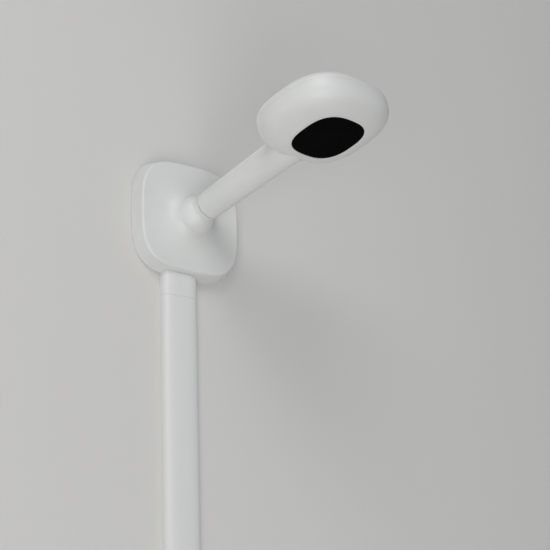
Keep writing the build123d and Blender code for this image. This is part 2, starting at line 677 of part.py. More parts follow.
with BuildPart(head) as filter_panes:
    with Locations((0, 0, BLADE_Z), (-FILTER_TRAVEL, 0, BLADE_Z)):
        Box(PANE_WIDTH, PANE_HEIGHT, 0.4)
finish(filter_panes.part, "filter_panes")

MOTOR_X = 15.6
with BuildPart(head) as filter_motor:
    with Locations((MOTOR_X, 0, -11.0)):
        Box(5.2, 8, 5)
    with Locations((MOTOR_X, 0, -14.6)):
        Cylinder(2.2, 2.2)
finish(filter_motor.part, "filter_motor")

with BuildPart(head) as sensor_board:
    with Locations((0, 0, -MOUNT_TOP + 0.5)):
        Box(24, 20, 1.0)
finish(sensor_board.part, "sensor_board")

with BuildPart(head) as image_sensor:
    with Locations((0, 0, -MOUNT_TOP - 0.45)):
        Box(8, 7, 0.9)
finish(image_sensor.part, "image_sensor")

# infrared lamps on a round board behind the window
LAMP_BOARD_FRONT = 18.2
LAMP_CIRCLE = 15.2
with BuildPart() as lamp_board:
    with BuildSketch(head.offset(-LAMP_BOARD_FRONT)):
        Circle(20)
        Circle(9.6, mode=Mode.SUBTRACT)
    extrude(amount=1.0)
finish(lamp_board.part, "lamp_board")

with BuildPart(head) as infrared_lamps:
    with PolarLocations(LAMP_CIRCLE, 6):
        with Locations((0, 0, -LAMP_BOARD_FRONT - 0.4)):
            Box(5.0, 5.0, 0.8)
        with Locations((0, 0, -LAMP_BOARD_FRONT - 0.8)):
            Sphere(1.6, arc_size1=-90, arc_size2=0)
finish(infrared_lamps.part, "infrared_lamps")

# boards
with BuildPart() as main_board:
    with BuildSketch(head.offset(-5.2)):
        RectangleRounded(72, 50, 6)
        with GridLocations(SCREW_GRID, SCREW_GRID, 2, 2):
            Circle(3.1, mode=Mode.SUBTRACT)
    extrude(amount=1.2)
finish(main_board.part, "main_board")

with BuildPart(head) as board_link:
    with Locations((0, 0, -5.9)):
        Box(12, 4, 1.4)
finish(board_link.part, "board_link")

with BuildPart(head) as harness_plug:
    with Locations((0, 21.9, -6.9)):
        Box(8, 8.2, 3.4)
finish(harness_plug.part, "harness_plug")

with BuildPart(head) as radio_module:
    with Locations((-26, 0, -6.3)):
        Box(14, 18, 2.2)
    fillet(radio_module.edges().group_by(Axis((0, 0, 0), up_dir))[0], 0.5)
finish(radio_module.part, "radio_module")

with BuildPart(head) as heat_spreader:
    with Locations((0, 0, -3.5)):
        Box(24, 24, 1.0)
    with Locations((0, 0, -2.4)):
        Box(60, 30, 1.2)
    with GridLocations(22, 18, 2, 2):
        with Locations((0, 0, -0.65)):
            Cylinder(1.6, 2.3)
finish(heat_spreader.part, "heat_spreader")

with BuildPart() as button_board:
    with BuildSketch(head.offset(0.5)):
        RectangleRounded(32, 25, 3)
    extrude(amount=1.0)
finish(button_board.part, "button_board")

with BuildPart(head) as button_switch:
    with Locations((0, 0, 2.5)):
        Box(6, 6, 2.0)
    with Locations((0, 0, 3.8)):
        Cylinder(1.2, 0.6)
finish(button_switch.part, "button_switch")

with BuildPart(head) as reset_switch:
    with Locations((*RESET_AT, 2.1)):
        Box(3.4, 3.0, 1.2)
    with Locations((*RESET_AT, 2.9)):
        Cylinder(0.7, 0.4)
finish(reset_switch.part, "reset_switch")

with BuildPart(head) as night_lights:
    with PolarLocations(10.4, 4):
        with Locations((0, 0, 1.9)):
            Box(3.0, 2.6, 0.8)
finish(night_lights.part, "night_lights")

with BuildPart(head) as microphone:
    with Locations((*MIC_AT, 2.0)):
        Box(3.6, 2.8, 1.0)
finish(microphone.part, "microphone")

with BuildPart(head) as speaker:
    with Locations((*SPEAKER_AT, 4.2)):
        Cylinder(9.0, 5.0)
    with Locations((*SPEAKER_AT, 0.7)):
        Cylinder(5.6, 2.0)
    fillet(speaker.edges().filter_by(GeomType.CIRCLE).group_by(Axis((0, 0, 0), up_dir))[-1], 0.8)
finish(speaker.part, "speaker")

# light ring round the button, the button itself and the reset button
GUIDE_BASE = 2.6
RIM_LOW = 10.2           # rim of the light ring, under the shell
with BuildPart() as light_ring:
    with BuildSketch(head.offset(GUIDE_BASE)):
        Circle(GUIDE_OUTER)
        Circle(GUIDE_INNER, mode=Mode.SUBTRACT)
    extrude(amount=10.5)
    fillet(light_ring.edges().group_by(Axis((0, 0, 0), up_dir))[-1], 0.3)
    with BuildSketch(head.offset(RIM_LOW)):
        Circle(12.8)
        Circle(GUIDE_OUTER, mode=Mode.SUBTRACT)
    extrude(amount=0.9)
    with BuildSketch(head.offset(GUIDE_BASE)):
        Circle(10.5)
    extrude(amount=8.5, mode=Mode.SUBTRACT)
finish(light_ring.part, "light_ring")

with BuildPart(head) as light_button:
    with Locations((0, 0, 12.15)):
        Cylinder(BUTTON_RADIUS, 2.3)
    fillet(light_button.edges().group_by(Axis((0, 0, 0), up_dir))[-1], 0.6)
    with Locations((0, 0, 10.5)):
        Cylinder(10.2, 1.0)
    with Locations((0, 0, 7.55)):
        Cylinder(2.2, 5.1)
finish(light_button.part, "light_button")

with BuildPart(head) as reset_button:
    with Locations((*RESET_AT, 8.2)):
        Cylinder(1.3, 8.6)
    fillet(reset_button.edges().group_by(Axis((0, 0, 0), up_dir))[-1], 0.4)
    with Locations((*RESET_AT, 10.3)):
        Cylinder(2.1, 0.9)
finish(reset_button.part, "reset_button")

# ================================================================ cable cover
# stub under the plate, cut to the plate's rounded underside
STUB_TOP = -46.5         # the stub is made this tall, then cut to the plate
HOLLOW_WIDTH = COVER_WIDTH - 2 * COVER_WALL
HOLLOW_DEPTH = COVER_DEPTH - COVER_WALL
HOLLOW_BACK = 0.3
with BuildPart() as cover_stub:
    extrude(cover_face(level(STUB_TOP), COVER_WIDTH, COVER_DEPTH, COVER_BACK), amount=STUB_TOP - STUB_END)
    extrude(
        cover_face(level(STUB_TOP + 1), HOLLOW_WIDTH, HOLLOW_DEPTH, HOLLOW_BACK),
        amount=STUB_TOP - STUB_END + 2, mode=Mode.SUBTRACT,
    )
    plate_body(-0.3, 0, mouth_depth, mouth_radius + 0.4, mode=Mode.SUBTRACT)
finish(cover_stub.part, "cover_stub")

with BuildPart() as cover_front:
    extrude(
        cover_face(level(STUB_END - COVER_JOINT), COVER_WIDTH, COVER_DEPTH, COVER_BACK),
        amount=COVER_LENGTH,
    )
    extrude(
        cover_face(level(STUB_END), HOLLOW_WIDTH, HOLLOW_DEPTH, HOLLOW_BACK),
        amount=COVER_LENGTH + 1, mode=Mode.SUBTRACT,
    )
finish(cover_front.part, "cover_front")

RAIL_BACK = 0.8
RAIL_FRONT = 2.0
RAIL_EDGE = 12.3         # the rail's upturned edges, from its middle
with BuildPart() as cover_rail:
    with BuildSketch(level(STUB_END + 12)):
        with Locations((COVER_X, (RAIL_BACK + RAIL_FRONT) / 2)):
            Rectangle(26.0, RAIL_FRONT - RAIL_BACK)
        with Locations((COVER_X - RAIL_EDGE, 3.2), (COVER_X + RAIL_EDGE, 3.2)):
            Rectangle(1.4, 3.2)
    extrude(amount=STUB_END + 12 - COVER_END - 4)
finish(cover_rail.part, "cover_rail")

TAPE_STRIPS = ((-200.0, -66.0), (-322.0, -212.0))
with BuildPart() as cover_tape:
    with BuildSketch(wall):
        for low, high in TAPE_STRIPS:
            with Locations((COVER_X, (low + high) / 2)):
                RectangleRounded(22, high - low, 1.5)
    extrude(amount=RAIL_BACK)
finish(cover_tape.part, "cover_tape")

# clip inside the joint between the stub and the long cover
CLIP_WIDTH = HOLLOW_WIDTH - 0.6
CLIP_DEPTH = HOLLOW_DEPTH - 0.2
CLIP_WALL = 0.8
with BuildPart() as cover_joiner:
    with BuildSketch(level(STUB_END + 7)):
        add(cover_face(Plane.XY, CLIP_WIDTH, CLIP_DEPTH, HOLLOW_BACK))
        inside = cover_face(Plane.XY, CLIP_WIDTH - 2 * CLIP_WALL, CLIP_DEPTH - CLIP_WALL, HOLLOW_BACK)
        add(inside, mode=Mode.SUBTRACT)
        with Locations((COVER_X, 2.8)):
            Rectangle(40, 5.0, mode=Mode.SUBTRACT)
    extrude(amount=15)
finish(cover_joiner.part, "cover_joiner")
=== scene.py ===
import json
from math import atan2, cos, pi, radians, sin, sqrt

import bmesh
import bpy
from mathutils import Matrix, Vector


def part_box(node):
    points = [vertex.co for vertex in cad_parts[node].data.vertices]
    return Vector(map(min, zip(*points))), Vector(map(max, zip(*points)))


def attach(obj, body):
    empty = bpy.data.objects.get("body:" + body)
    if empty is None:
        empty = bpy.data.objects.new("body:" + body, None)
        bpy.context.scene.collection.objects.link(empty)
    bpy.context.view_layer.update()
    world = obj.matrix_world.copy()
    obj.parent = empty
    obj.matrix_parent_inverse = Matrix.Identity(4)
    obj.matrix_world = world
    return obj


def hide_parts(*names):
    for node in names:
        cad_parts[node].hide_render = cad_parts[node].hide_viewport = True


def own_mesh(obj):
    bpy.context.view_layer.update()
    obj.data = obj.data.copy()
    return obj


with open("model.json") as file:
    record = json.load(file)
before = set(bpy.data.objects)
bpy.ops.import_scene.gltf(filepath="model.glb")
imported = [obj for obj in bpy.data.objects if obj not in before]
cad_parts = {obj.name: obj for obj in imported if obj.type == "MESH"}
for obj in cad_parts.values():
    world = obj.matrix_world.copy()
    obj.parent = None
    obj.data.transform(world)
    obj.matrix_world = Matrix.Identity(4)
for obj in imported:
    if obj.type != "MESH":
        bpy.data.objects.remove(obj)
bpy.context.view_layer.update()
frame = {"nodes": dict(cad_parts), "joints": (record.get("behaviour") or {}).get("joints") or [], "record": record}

# Looks of a wall-mounted overhead baby monitor camera. Sizes of pieces are in millimetres and are
# turned into metres by the plane that a piece is built on.
MM = 0.001

# ---------------------------------------------------------------- sizes shared with the frame
PLATE_POWER = 3.36       # superellipse power of the wall cover's outline
PLATE_GAP = 0.8
PLATE_DRAFT = 2.6        # how far the side wall leans in
EDGE_START = 11.9
EDGE_DEPTH = 14.2
EDGE_INSET = 2.3
COLLAR_SHARE = 0.4       # part of the dome's rise that is a steep collar round the ball
DOME_POWER = 2.2         # how hollow the dome's flank is
COLLAR_POWER = 9.0
WALL = 2.2
LATCH_HALF = 7.4         # half width of the wall cover's opening for the latch
CORD_HALF = 9.0          # half width of its opening for the cord
OPENING_FRONT = 8.4      # both openings end this far from the wall
LATCH_BACK = 3.6         # the latch's opening starts this far from the wall
CORD_BACK = 2.0          # and the cord's opening this far
CUTTER_IN = 6            # their cutters reach this far in from the wall cover's edge
CUTTER_OUT = 3           # and this far out past it
MOUTH_MARGIN = 0.2       # the dome meets the mouth this far outside the ball's seat
INNER_MARGIN = 1.4       # and the dome's inside ends this much further out
BOWL_ANGLE = 12          # the bowl goes on behind the mouth by this angle, in degrees
BACK_EDGE = 0.4          # rounding of the wall cover's back edges
BALL_RADIUS = 18.5
BALL_INNER = 16.5
SPIGOT_WALL = 2.3
BALL_REAR = 2.2          # the ball is cut off this far behind its centre
MOUTH_ANGLE = 68.5       # half angle of the mouth round the ball, in degrees
MOUTH_SLIP = 0.05        # clearance between the ball and the mouth
MOUTH_EDGE = 0.12        # rounding of the mouth's rim
NECK_RADIUS = 12.0
NECK_FLARE = 0.045       # where the neck leaves the ball, as an angle outside its own edge
SEAM = 19.5              # distance from the ball's centre to the seam of neck and arm
NECK_GAP = 0.5           # gap between neck and arm at the seam
SOCKET = 12.5            # length of the bore that takes the neck's spigot
ARM_NEAR = 12.3          # arm radius at the seam
ARM_FAR = 14.4           # arm radius at the head
ARM_END = 129.0
ARM_WALL = 1.8
HEAD_REACH = 161.7       # ball centre to head centre, along the arm
HEAD_RISE = 6.9          # the head's widest plane stands this far above the arm's axis
HEAD_X = 51.1            # half width of the head
HEAD_Y = 48.2            # half length of the head
HEAD_POWER = 2.75
HEAD_TOP = 13.2
HEAD_TOP_POWER = 3.0
TOP_ANGLE = 80           # the top's curve ends at this angle and goes on flat to the light ring, in degrees
HEAD_LOW = 25.7
HEAD_LOW_POWER = 2.6
HEAD_FLAT = 23.1         # depth of the flat face round the window
HEAD_WALL = 1.8
PARTING = 0.1            # gap of the parting line
LIP = 21.0               # depth of the ledge that carries the window
LIP_OPENING = 20.8
GASKET_LOW = 21.3        # the window starts here, on its gasket
WINDOW_RECESS = 0.25     # how far the window's face lies behind the flat face round it
WINDOW_HALF = 27.8
WINDOW_POWER = 2.66
COVER_X = -6.2           # the cable cover stands this far to the left of the plate's centre
COVER_BACK = 0.4         # gap between the cover's edges and the wall
COVER_WIDTH = 34.6
COVER_DEPTH = 9.4
COVER_POWER = 3.4
COVER_WALL = 1.6
STUB_TOP = -44.0         # the short length is made this tall, then cut to the plate
STUB_CLEARANCE = 0.3
STUB_END = -71.0         # height of the joint between the two lengths of cable cover
SEAM_GAP = 0.07          # the two lengths of cable cover nearly touch
GUIDE_OUTER = 11.4       # light ring round the button
GUIDE_INNER = 9.4
GUIDE_BORE = 10.5        # wider bore below the visible rim
GUIDE_BASE = 2.6
GUIDE_TOP = 13.1
RIM_OUTER = 12.8         # flange of the light ring, under the shell
RIM_LOW = 10.2
RIM_TOP = 11.1
BUTTON_RADIUS = 9.1
BUTTON_TOP = 13.3
BUTTON_EDGE = 0.6
DISH = ((7.6, 13.27), (6.0, 13.18), (4.0, 13.06), (2.0, 12.98), (0.8, 12.96))   # radius and height
BUTTON_FLANGE = 10.2     # radius of the flange that keeps the button in
FLANGE_LOW = 10.0
FLANGE_TOP = 11.0
FLANGE_EDGE = 0.15
STEM = 2.2               # radius of the button's stem
STEM_LOW = 5.0
SPRING_RADIUS = 1.65
SPRING_WIRE = 0.28
SPRING_TURNS = 4.8

# ---------------------------------------------------------------- planes, read from the frame
joints = {joint["name"]: joint for joint in frame["joints"]}
ball_centre = Vector(joints["arm_tilt"]["pos_m"])
side_dir = -Vector(joints["arm_tilt"]["axis"])
up_dir = -Vector(joints["light_button_press"]["axis"])
back_dir = up_dir.cross(side_dir)
plate_half = (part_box("base_cover")[1].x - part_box("base_cover")[0].x) / 2 / MM
mouth_depth = -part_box("base_cover")[0].y / MM
cover_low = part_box("cover_front")[0].z / MM


def plane(origin, x_dir, y_dir):
    """A matrix that turns local millimetres into metres in the frame."""
    x_dir, y_dir = Vector(x_dir).normalized(), Vector(y_dir).normalized()
    z_dir = x_dir.cross(y_dir)
    turn = Matrix((x_dir, y_dir, z_dir)).transposed().to_4x4()
    return Matrix.Translation(origin) @ turn @ Matrix.Scale(MM, 4)


wall = plane((0, 0, 0), (1, 0, 0), (0, 0, 1))             # z points into the room
along = plane(ball_centre, side_dir, up_dir)               # z points from the ball to the head
arm = plane(ball_centre, side_dir, back_dir)               # z points up, -y towards the head
head = plane(arm @ Vector((0, -HEAD_REACH, HEAD_RISE)), side_dir, back_dir)
level = plane((0, 0, 0), (1, 0, 0), (0, 1, 0))             # z points up, -y into the room

# ---------------------------------------------------------------- mesh building
RING = 160               # points in a ring of the wall cover
HEAD_RING = 192
TURNED_RING = 96


def ring(half_x, half_y, height, power, count=RING):
    """One closed superellipse of points at a height above the plane."""
    points = []
    for step in range(count):
        angle = 2 * pi * (step + 0.5) / count
        across, upward = cos(angle), sin(angle)
        reach = (abs(across) ** power + abs(upward) ** power) ** (-1 / power)
        points.append(Vector((half_x * reach * across, half_y * reach * upward, height)))
    return points


def rounded(stations):
    """Stations are (half_x, half_y, height, power, radius). Corners with a radius become short curves."""
    steps = 5
    smooth = []
    for i, station in enumerate(stations):
        here, radius = Vector(station[:4]), station[4]
        if radius == 0:
            smooth.append(tuple(here))
            continue
        before, after = Vector(stations[i - 1][:4]), Vector(stations[(i + 1) % len(stations)][:4])
        start = here + (before - here).normalized() * radius
        end = here + (after - here).normalized() * radius
        for step in range(steps + 1):
            t = step / steps
            smooth.append(tuple(start * (1 - t) ** 2 + here * (2 * t * (1 - t)) + end * t ** 2))
    return smooth


def make_object(name, vertices, faces, matrix):
    """A smooth-shaded mesh object with its vertices in the frame, in metres."""
    mesh = bpy.data.meshes.new(name)
    mesh.from_pydata([matrix @ Vector(v) for v in vertices], [], faces)
    mesh.validate()
    for face in mesh.polygons:
        face.use_smooth = True
    piece = bpy.data.objects.new(name, mesh)
    bpy.context.scene.collection.objects.link(piece)
    fix_normals(piece)
    return piece


def fix_normals(piece):
    """Turns all faces of a closed mesh outwards."""
    work = bmesh.new()
    work.from_mesh(piece.data)
    bmesh.ops.remove_doubles(work, verts=work.verts, dist=1e-7)
    bmesh.ops.recalc_face_normals(work, faces=work.faces)
    work.to_mesh(piece.data)
    work.free()


def skin(name, rings, matrix, loop=False):
    """Quads between successive rings. A loop joins the last ring to the first, else both ends are closed."""
    count = len(rings[0])
    vertices = [point for one in rings for point in one]
    faces = []
    rows = len(rings)
    for row in range(rows if loop else rows - 1):
        below, above = row * count, ((row + 1) % rows) * count
        for step in range(count):
            after = (step + 1) % count
            faces.append((below + step, below + after, above + after, above + step))
    if not loop:
        for base in (0, (rows - 1) * count):
            centre = sum((Vector(v) for v in vertices[base:base + count]), Vector()) / count
            vertices.append(centre)
            faces += [(base + step, base + (step + 1) % count, len(vertices) - 1) for step in range(count)]
    return make_object(name, vertices, faces, matrix)


def shell(name, stations, matrix, loop=True, count=RING):
    """A solid whose section is a loop of stations."""
    rings = [ring(*station, count=count) for station in rounded(stations)]
    return skin(name, rings, matrix, loop)


def lathe(name, profile, matrix, loop=True):
    """A turned solid from (radius, height, corner radius) points."""
    stations = [(radius, radius, height, 2, corner) for radius, height, corner in profile]
    return shell(name, stations, matrix, loop, TURNED_RING)


def cut(piece, *cutters):
    """Takes the cutters away from the piece."""
    for cutter in cutters:
        change = piece.modifiers.new("cut", "BOOLEAN")
        change.object = cutter
        change.solver = "EXACT"
        bpy.context.view_layer.objects.active = piece
        bpy.context.view_layer.update()
        bpy.ops.object.modifier_apply(modifier=change.name)
        bpy.data.objects.remove(cutter)


def crisp(piece, degrees=32):
    """Smooth shading with sharp edges where faces meet at more than the angle."""
    limit = radians(degrees)
    work = bmesh.new()
    work.from_mesh(piece.data)
    for edge in work.edges:
        edge.smooth = len(edge.link_faces) == 2 and edge.calc_face_angle(0) < limit
    for face in work.faces:
        face.smooth = True
    work.to_mesh(piece.data)
    work.free()
    weight = piece.modifiers.new("weight", "WEIGHTED_NORMAL")
    weight.keep_sharp = True
    weight.weight = 100
    bpy.context.view_layer.objects.active = piece
    bpy.ops.object.modifier_apply(modifier=weight.name)


def rod(radius, low, high, matrix, x=0.0, y=0.0, count=48):
    """A plain round cutter."""
    shift = Vector((x, y, 0))
    rings = [[point + shift for point in ring(radius, radius, height, 2, count)] for height in (low, high)]
    return skin("cutter", rings, matrix)


def block(low, high, matrix, radius=0.6):
    """A cutter: a box with rounded vertical edges."""
    x, y = (low[0] + high[0]) / 2, (low[1] + high[1]) / 2
    half_x, half_y = (high[0] - low[0]) / 2, (high[1] - low[1]) / 2
    corner = []
    for sign_x, sign_y, start in ((1, 1, 0), (-1, 1, 90), (-1, -1, 180), (1, -1, 270)):
        for step in range(5):
            angle = radians(start + 22.5 * step)
            corner.append((
                x + sign_x * (half_x - radius) + radius * cos(angle),
                y + sign_y * (half_y - radius) + radius * sin(angle),
            ))
    rings = [[Vector((px, py, height)) for px, py in corner] for height in (low[2], high[2])]
    return skin("cutter", rings, matrix)


# ---------------------------------------------------------------- materials
def node_material(name):
    """A new node material with its nodes and links."""
    material = bpy.data.materials.new(name)
    material.use_nodes = True
    return material, material.node_tree.nodes, material.node_tree.links


def add_node(nodes, kind, **values):
    """A new node with the given input values."""
    node = nodes.new(kind)
    for key, value in values.items():
        node.inputs[key].default_value = value
    return node


BLOTCH = 22.0            # size of the mottling, in cells to the metre


def finish_of(name, dark, light, rough, grain, bump, metallic=0.0, specular=0.5, subsurface=0.0,
              transmission=0.0, stretch=(1, 1, 1)):
    """A moulded or machined surface: mottled colour, uneven gloss and a fine grain."""
    material, nodes, links = node_material(name)
    shader = nodes["Principled BSDF"]
    shader.inputs["Metallic"].default_value = metallic
    shader.inputs["Specular IOR Level"].default_value = specular
    shader.inputs["Transmission Weight"].default_value = transmission
    if subsurface:
        shader.inputs["Subsurface Weight"].default_value = subsurface
        shader.inputs["Subsurface Radius"].default_value = (0.004, 0.004, 0.0035)
        shader.inputs["Subsurface Scale"].default_value = 1.0
    place = nodes.new("ShaderNodeTexCoord")
    spread = nodes.new("ShaderNodeMapping")
    spread.inputs["Scale"].default_value = stretch
    links.new(place.outputs["Object"], spread.inputs["Vector"])
    large = add_node(nodes, "ShaderNodeTexNoise", Scale=BLOTCH, Detail=4.0, Roughness=0.55)
    fine = add_node(nodes, "ShaderNodeTexNoise", Scale=grain, Detail=3.0, Roughness=0.6)
    links.new(spread.outputs["Vector"], large.inputs["Vector"])
    links.new(spread.outputs["Vector"], fine.inputs["Vector"])
    tint = nodes.new("ShaderNodeValToRGB")
    tint.color_ramp.elements[0].position, tint.color_ramp.elements[1].position = 0.3, 0.7
    tint.color_ramp.elements[0].color = (*dark, 1)
    tint.color_ramp.elements[1].color = (*light, 1)
    links.new(large.outputs["Fac"], tint.inputs["Fac"])
    links.new(tint.outputs["Color"], shader.inputs["Base Color"])
    gloss = add_node(nodes, "ShaderNodeMapRange", **{"From Min": 0.3, "From Max": 0.7})
    gloss.inputs["To Min"].default_value, gloss.inputs["To Max"].default_value = rough
    links.new(fine.outputs["Fac"], gloss.inputs["Value"])
    links.new(gloss.outputs["Result"], shader.inputs["Roughness"])
    relief = add_node(nodes, "ShaderNodeBump", Strength=bump, Distance=0.00004)
    links.new(fine.outputs["Fac"], relief.inputs["Height"])
    links.new(relief.outputs["Normal"], shader.inputs["Normal"])
    return material


WHITE_DARK, WHITE_LIGHT = (0.725, 0.735, 0.722), (0.775, 0.782, 0.768)
# slot: dark colour, light colour, range of roughness, size of the grain, depth of the grain, other settings
FINISHES = {
    "shell_white": (WHITE_DARK, WHITE_LIGHT, (0.36, 0.46), 2600, 0.35, {"subsurface": 0.04}),
    "cover_white": ((0.74, 0.745, 0.74), (0.785, 0.785, 0.78), (0.34, 0.42), 2200, 0.25,
                    {"stretch": (1, 1, 0.08)}),
    "frame_plastic": ((0.60, 0.61, 0.61), (0.68, 0.69, 0.69), (0.45, 0.6), 1800, 0.5, {}),
    "bearing_plastic": ((0.50, 0.50, 0.47), (0.56, 0.56, 0.53), (0.3, 0.4), 1500, 0.3, {}),
    "pin_steel": ((0.42, 0.42, 0.43), (0.56, 0.56, 0.57), (0.22, 0.36), 3000, 0.4,
                  {"metallic": 1.0, "stretch": (0.2, 1, 1)}),
    "shield_metal": ((0.48, 0.48, 0.49), (0.62, 0.62, 0.63), (0.28, 0.42), 2400, 0.4,
                     {"metallic": 1.0, "stretch": (1, 0.1, 1)}),
    "collar_grey": ((0.20, 0.20, 0.20), (0.27, 0.27, 0.27), (0.5, 0.6), 2200, 0.4, {}),
    "window_black": ((0.001, 0.001, 0.0013), (0.002, 0.002, 0.0024), (0.05, 0.09), 900, 0.03,
                     {"specular": 0.01}),
    "gasket_rubber": ((0.02, 0.02, 0.02), (0.04, 0.04, 0.04), (0.7, 0.85), 1900, 0.8, {}),
    "optics_black": ((0.012, 0.012, 0.012), (0.022, 0.022, 0.023), (0.45, 0.6), 2200, 0.6, {}),
    "diffuser": ((0.72, 0.73, 0.70), (0.80, 0.80, 0.77), (0.22, 0.3), 1600, 0.2, {"subsurface": 0.35}),
    "board_green": ((0.012, 0.075, 0.03), (0.02, 0.11, 0.045), (0.25, 0.4), 700, 0.4, {}),
    "chip_black": ((0.012, 0.012, 0.013), (0.026, 0.026, 0.027), (0.4, 0.6), 2600, 0.5, {}),
    "lamp_lens": ((0.55, 0.55, 0.50), (0.65, 0.65, 0.60), (0.08, 0.15), 800, 0.1, {"transmission": 0.4}),
    "lens_clear": ((0.70, 0.78, 0.85), (0.78, 0.84, 0.90), (0.01, 0.03), 400, 0.02, {"transmission": 0.9}),
    "lead_jacket": ((0.03, 0.03, 0.03), (0.05, 0.05, 0.05), (0.45, 0.6), 1800, 0.5, {}),
    "tape_foam": ((0.48, 0.48, 0.45), (0.58, 0.58, 0.54), (0.7, 0.9), 2600, 1.0, {}),
}
finishes = {}
for slot_name, (dark, light, rough, grain, bump, others) in FINISHES.items():
    finishes[slot_name] = finish_of(slot_name, dark, light, rough, grain, bump, **others)


def dress(piece, slot_name, body, node):
    """Gives a piece its finish and its body, and hides the node that it stands for."""
    piece.data.materials.clear()
    piece.data.materials.append(finishes[slot_name])
    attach(piece, body)
    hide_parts(node)


for part in frame["record"]["subparts"]:
    node = frame["nodes"][part["node"]]
    for material_slot in range(len(node.material_slots)):
        node.material_slots[material_slot].material = finishes[part["material_slot"]]

# ================================================================ wall cover
def plate_profile(inset, mouth_height, mouth_half, first):
    """Stations from the back edge over the rounded edge and the dome to the mouth."""
    foot_half = plate_half - inset
    side_half = foot_half - PLATE_DRAFT
    front_half = side_half - EDGE_INSET
    start_depth, front_depth = EDGE_START - inset, EDGE_DEPTH - inset
    stations = [(foot_half, foot_half, first, PLATE_POWER, 0)]
    for step in range(13):
        angle = pi / 2 * step / 12
        half = side_half - EDGE_INSET * (1 - cos(angle))
        depth = start_depth + (front_depth - start_depth) * sin(angle)
        stations.append((half, half, depth, PLATE_POWER, 0))
    for step in range(1, 37):
        share = step / 36
        half = front_half + (mouth_half - front_half) * share
        rise = (1 - COLLAR_SHARE) * share ** DOME_POWER + COLLAR_SHARE * share ** COLLAR_POWER
        depth = front_depth + (mouth_height - front_depth) * rise
        stations.append((half, half, depth, PLATE_POWER + (2 - PLATE_POWER) * share ** 1.5, 0))
    return stations


def make_wall_cover():
    """Hollow cover: side wall, rounded edge, dome and the bowl that holds the ball."""
    rim = radians(MOUTH_ANGLE)
    seat = BALL_RADIUS + MOUTH_SLIP
    mouth_half = seat * sin(rim) + MOUTH_MARGIN
    outside = plate_profile(0, mouth_depth, mouth_half, PLATE_GAP)
    outside[-1] = (*outside[-1][:4], MOUTH_EDGE)
    inside = plate_profile(WALL, mouth_depth - WALL, mouth_half + INNER_MARGIN, PLATE_GAP)
    ball_depth = -ball_centre.y / MM
    bowl = []
    for step in range(6):
        angle = rim + radians(BOWL_ANGLE) * step / 5
        bowl.append((seat * sin(angle), seat * sin(angle), ball_depth + seat * cos(angle), 2, 0))
    first = [(plate_half - WALL, plate_half - WALL, PLATE_GAP, PLATE_POWER, BACK_EDGE),
             (plate_half, plate_half, PLATE_GAP, PLATE_POWER, BACK_EDGE)]
    stations = first + outside[1:] + bowl + inside[:0:-1]
    cover = shell("wall_cover", stations, wall)
    latch_low = (-LATCH_HALF, -OPENING_FRONT, plate_half - CUTTER_IN)
    latch_high = (LATCH_HALF, -LATCH_BACK, plate_half + CUTTER_OUT)
    cut(cover, block(latch_low, latch_high, level))
    cord_low = (COVER_X - CORD_HALF, -OPENING_FRONT, -plate_half - CUTTER_OUT)
    cord_high = (COVER_X + CORD_HALF, -CORD_BACK, -plate_half + CUTTER_IN)
    cut(cover, block(cord_low, cord_high, level))
    crisp(cover)
    dress(cover, "shell_white", "wall_mount", "base_cover")


make_wall_cover()


def make_latch_spring():
    """Coil under the release latch."""
    lowest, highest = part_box("latch_spring")
    depth = (lowest.y + highest.y) / 2 / MM
    low, high = lowest.z / MM + SPRING_WIRE, highest.z / MM - SPRING_WIRE
    steps, sides = 144, 12
    rings = []
    for step in range(steps + 1):
        angle = 2 * pi * SPRING_TURNS * step / steps
        outward = Vector((cos(angle), sin(angle), 0))
        middle = outward * SPRING_RADIUS + Vector((0, depth, low + (high - low) * step / steps))
        around = [2 * pi * side / sides for side in range(sides)]
        rings.append([middle + (outward * cos(turn) + Vector((0, 0, sin(turn)))) * SPRING_WIRE
                      for turn in around])
    coil = skin("latch_coil", rings, level)
    crisp(coil)
    dress(coil, "pin_steel", "wall_mount", "latch_spring")
    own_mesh(coil)


make_latch_spring()


# ================================================================ ball, seam and arm
def make_ball():
    """Hollow ball, open at the rear, with a short neck that flares out of it."""
    start = atan2(BALL_REAR, sqrt(BALL_RADIUS ** 2 - BALL_REAR ** 2)) + pi / 2
    neck = atan2(NECK_RADIUS, sqrt(BALL_RADIUS ** 2 - NECK_RADIUS ** 2))
    inner_start = atan2(BALL_REAR, sqrt(BALL_INNER ** 2 - BALL_REAR ** 2)) + pi / 2
    bore = ARM_NEAR - ARM_WALL - SPIGOT_WALL
    profile = []
    for step in range(25):
        angle = start + (neck + NECK_FLARE - start) * step / 24
        profile.append((BALL_RADIUS * sin(angle), BALL_RADIUS * cos(angle), 0))
    profile.append((NECK_RADIUS, BALL_RADIUS * cos(neck) + 0.7, 0))
    profile.append((NECK_RADIUS, SEAM - 3.0, 0))
    neck_end = SEAM - NECK_GAP
    profile.append((ARM_NEAR - 0.05, neck_end, 0.35))
    profile.append((bore + 1.0, neck_end, 0))
    profile.append((bore, neck_end, 0))
    inner_end = atan2(bore, sqrt(BALL_INNER ** 2 - bore ** 2))
    for step in range(17):
        angle = inner_end + (inner_start - inner_end) * step / 16
        profile.append((BALL_INNER * sin(angle), BALL_INNER * cos(angle), 0))
    ball = lathe("ball_and_neck", profile, along)
    crisp(ball)
    dress(ball, "shell_white", "camera_unit", "arm_ball")


